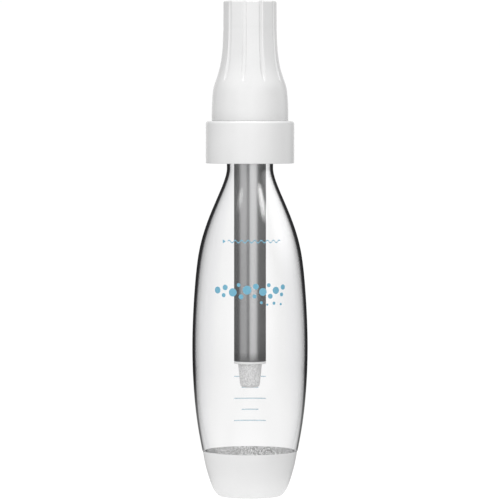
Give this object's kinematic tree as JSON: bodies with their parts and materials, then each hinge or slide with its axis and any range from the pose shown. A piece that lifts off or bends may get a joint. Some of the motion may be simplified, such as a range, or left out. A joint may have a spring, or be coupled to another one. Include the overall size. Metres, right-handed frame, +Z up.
{
  "type": "soda siphon",
  "caption": "Portable soda siphon: clear bottle in a base cup, screw collar, wide gas tube with a diffuser, and a fluted bell that screws a gas charger onto a pin.",
  "frame": {"origin": "on the axis of the bottle, in the plane that the foot stands on", "axes": "+Z up along the bottle's axis, +X to the right and +Y away from the viewer, as the picture shows the object; the relief valve is at +Y"},
  "size_m": [0.088, 0.088, 0.3772],
  "materials": {
    "clear_bottle": "clear blow moulded polyester",
    "white_shell": "white moulded ABS with a soft gloss",
    "core_nylon": "moulded glass filled nylon",
    "washer_plastic": "slippery acetal",
    "grey_silicone": "moulded grey silicone",
    "black_rubber": "moulded nitrile rubber",
    "spring_steel": "bright stainless steel",
    "turned_brass": "turned brass",
    "sintered_bronze": "sintered bronze grains",
    "satin_tube": "satin anodised aluminium",
    "satin_sleeve": "turned aluminium",
    "porous_diffuser": "sintered porous polyethylene",
    "green_lacquer": "green lacquered steel"
  },
  "bodies": {
    "bottle": {"bottle": "clear_bottle", "base_cup": "white_shell"},
    "head": {"head_core": "core_nylon", "neck_gasket": "grey_silicone", "thrust_washer": "washer_plastic", "core_circlip": "spring_steel", "tube_o_rings": "black_rubber", "pin_carrier": "turned_brass", "piercing_pin": "spring_steel", "charger_seal": "black_rubber", "gas_filter": "sintered_bronze", "check_seat": "turned_brass", "check_cage": "turned_brass", "check_spring": "spring_steel", "relief_cap": "turned_brass", "relief_spring": "spring_steel", "gas_tube": "satin_tube", "tube_end_plug": "white_shell", "plug_o_ring": "black_rubber", "diffuser": "porous_diffuser"},
    "collar": {"collar_shell": "white_shell", "collar_nut": "core_nylon"},
    "charger": {"charger": "green_lacquer", "charger_cap": "spring_steel"},
    "holder": {"holder_shell": "white_shell", "holder_sleeve": "satin_sleeve", "holder_pad": "grey_silicone"},
    "check_ball": {"check_ball": "spring_steel"},
    "relief_poppet": {"relief_poppet": "turned_brass", "relief_seal": "black_rubber"}
  },
  "joints": [
    {"name": "head_rise", "type": "slide", "parent": "bottle", "child": "head", "axis": [0, 0, 1], "range_m": [0, 0.008]},
    {"name": "collar_turn", "type": "hinge", "parent": "head", "child": "collar", "pos_m": [0, 0, 0.2696], "axis": [0, 0, 1], "range_deg": [0, 720]},
    {"name": "holder_rise", "type": "slide", "parent": "head", "child": "charger", "axis": [0, 0, 1], "range_m": [0, 0.009]},
    {"name": "holder_turn", "type": "hinge", "parent": "charger", "child": "holder", "pos_m": [0, 0, 0.3], "axis": [0, 0, 1], "range_deg": [0, 1080]},
    {"name": "check_ball_lift", "type": "slide", "parent": "head", "child": "check_ball", "axis": [0, 0, 1], "range_m": [-0.0012, 0], "stiffness_N_per_m": 60, "springref_m": 0.002, "deforming": ["check_spring"]},
    {"name": "relief_lift", "type": "slide", "parent": "head", "child": "relief_poppet", "axis": [0, 0, 1], "range_m": [0, 0.0012], "stiffness_N_per_m": 900, "springref_m": -0.0028, "deforming": ["relief_spring"]}
  ],
  "couplings": [
    {"joint": "collar_turn", "follows": "head_rise", "rad_per_m": 1570.8},
    {"joint": "holder_turn", "follows": "holder_rise", "rad_per_m": 2094.4}
  ]
}
